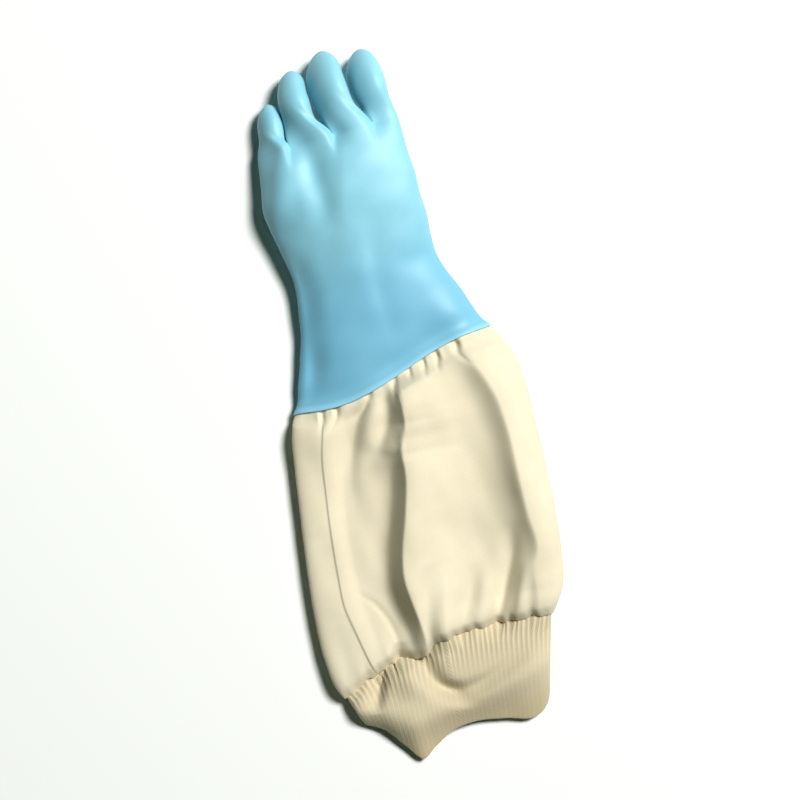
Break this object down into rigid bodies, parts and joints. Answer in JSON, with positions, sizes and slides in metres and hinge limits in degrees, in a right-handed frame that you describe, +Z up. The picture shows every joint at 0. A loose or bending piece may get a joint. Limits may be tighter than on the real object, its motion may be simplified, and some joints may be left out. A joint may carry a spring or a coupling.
{
  "type": "beekeeping glove",
  "caption": "Left-hand work glove lying back up: dipped latex hand with a flared cuff, puffed cloth sleeve gathered into it, and a ribbed knit band where the arm goes in.",
  "frame": {"origin": "on the table under the middle of the glove, at the centre of its bounding box seen from above", "axes": "+Y to the fingertips, +X to the thumb's side, +Z up from the table, through the hand's back"},
  "size_m": [0.2004, 0.5547, 0.051],
  "materials": {
    "latex": "satin, dipped natural latex",
    "cotton": "matt, unbleached cotton drill",
    "knit": "matt, ribbed knit"
  },
  "bodies": {
    "root": {"latex_hand": "latex", "cotton_sleeve": "cotton", "knit_band": "knit"}
  },
  "joints": []
}
